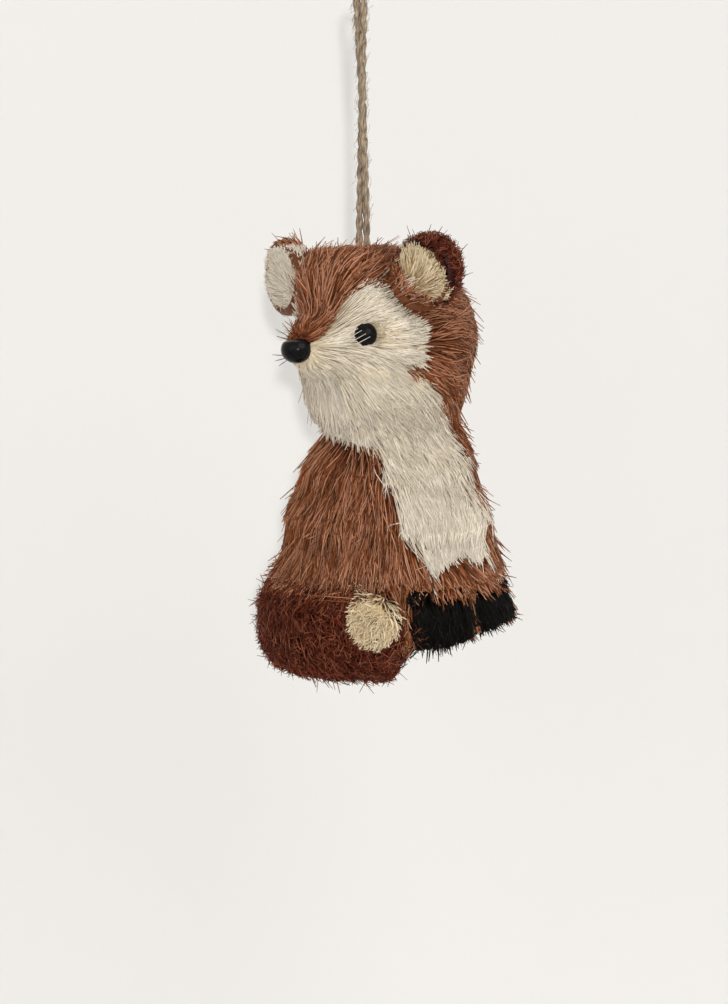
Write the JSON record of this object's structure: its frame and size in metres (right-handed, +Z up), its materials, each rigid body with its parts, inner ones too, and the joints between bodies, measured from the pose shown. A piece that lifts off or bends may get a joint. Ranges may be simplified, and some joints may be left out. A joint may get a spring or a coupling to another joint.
{
  "type": "hanging animal ornament",
  "caption": "Sitting fox ornament of combed plant-fibre bristle with bead eyes and nose, a curled tail, black paws and a jute twine hanging loop.",
  "frame": {"origin": "where the twine loop bears on its hook, at the top inside of the loop", "axes": "+Z up along the hanging twine, -Y towards the viewer, +X to the viewer's right; the face looks to -X and -Y"},
  "size_m": [0.0675, 0.0753, 0.195],
  "materials": {
    "jute_twine": "matte",
    "turned_wood": "matte",
    "pressed_core": "matte",
    "ear_card": "matte",
    "base_felt": "matte",
    "bead_gloss": "gloss",
    "cream_bristle": "matte",
    "brown_bristle": "matte",
    "russet_pile": "matte",
    "black_bristle": "matte"
  },
  "bodies": {
    "twine": {"hanging_loop": "jute_twine"},
    "knot": {"loop_knot": "jute_twine"},
    "fox": {"base_pad": "base_felt", "bib_bristles_1": "cream_bristle", "bib_bristles_2": "cream_bristle", "bib_bristles_3": "cream_bristle", "body_bristles_1": "brown_bristle", "body_bristles_2": "brown_bristle", "body_bristles_3": "brown_bristle", "body_bristles_4": "brown_bristle", "body_core": "pressed_core", "cheek_bristles_left": "cream_bristle", "cheek_bristles_right": "cream_bristle", "chin_bristles": "cream_bristle", "crown_bristles": "brown_bristle", "ear_card_left": "ear_card", "ear_card_right": "ear_card", "ear_lining_left": "cream_bristle", "ear_lining_right": "cream_bristle", "ear_pile_left": "russet_pile", "ear_pile_right": "russet_pile", "eye_left": "bead_gloss", "eye_right": "bead_gloss", "forehead_bristles": "brown_bristle", "head_core": "pressed_core", "knot_collar": "turned_wood", "nape_bristles": "brown_bristle", "nape_ruff": "brown_bristle", "neck_peg": "turned_wood", "nose": "bead_gloss", "paw_bristles_left": "black_bristle", "paw_bristles_right": "black_bristle", "tail_bristles": "russet_pile", "tail_core": "pressed_core", "tail_peg": "turned_wood", "tail_tip_bristles": "cream_bristle", "throat_ruff": "cream_bristle"}
  },
  "joints": [
    {"name": "twine_turn", "type": "hinge", "parent": "twine", "child": "knot", "pos_m": [0, 0, -0.0832], "axis": [0, 0, 1], "range_deg": [-180, 180], "stiffness_Nm_per_rad": 0.0004},
    {"name": "loop_swing", "type": "hinge", "parent": "knot", "child": "fox", "pos_m": [0, 0, -0.0832], "axis": [1, 0, 0], "range_deg": [-25, 25]}
  ]
}
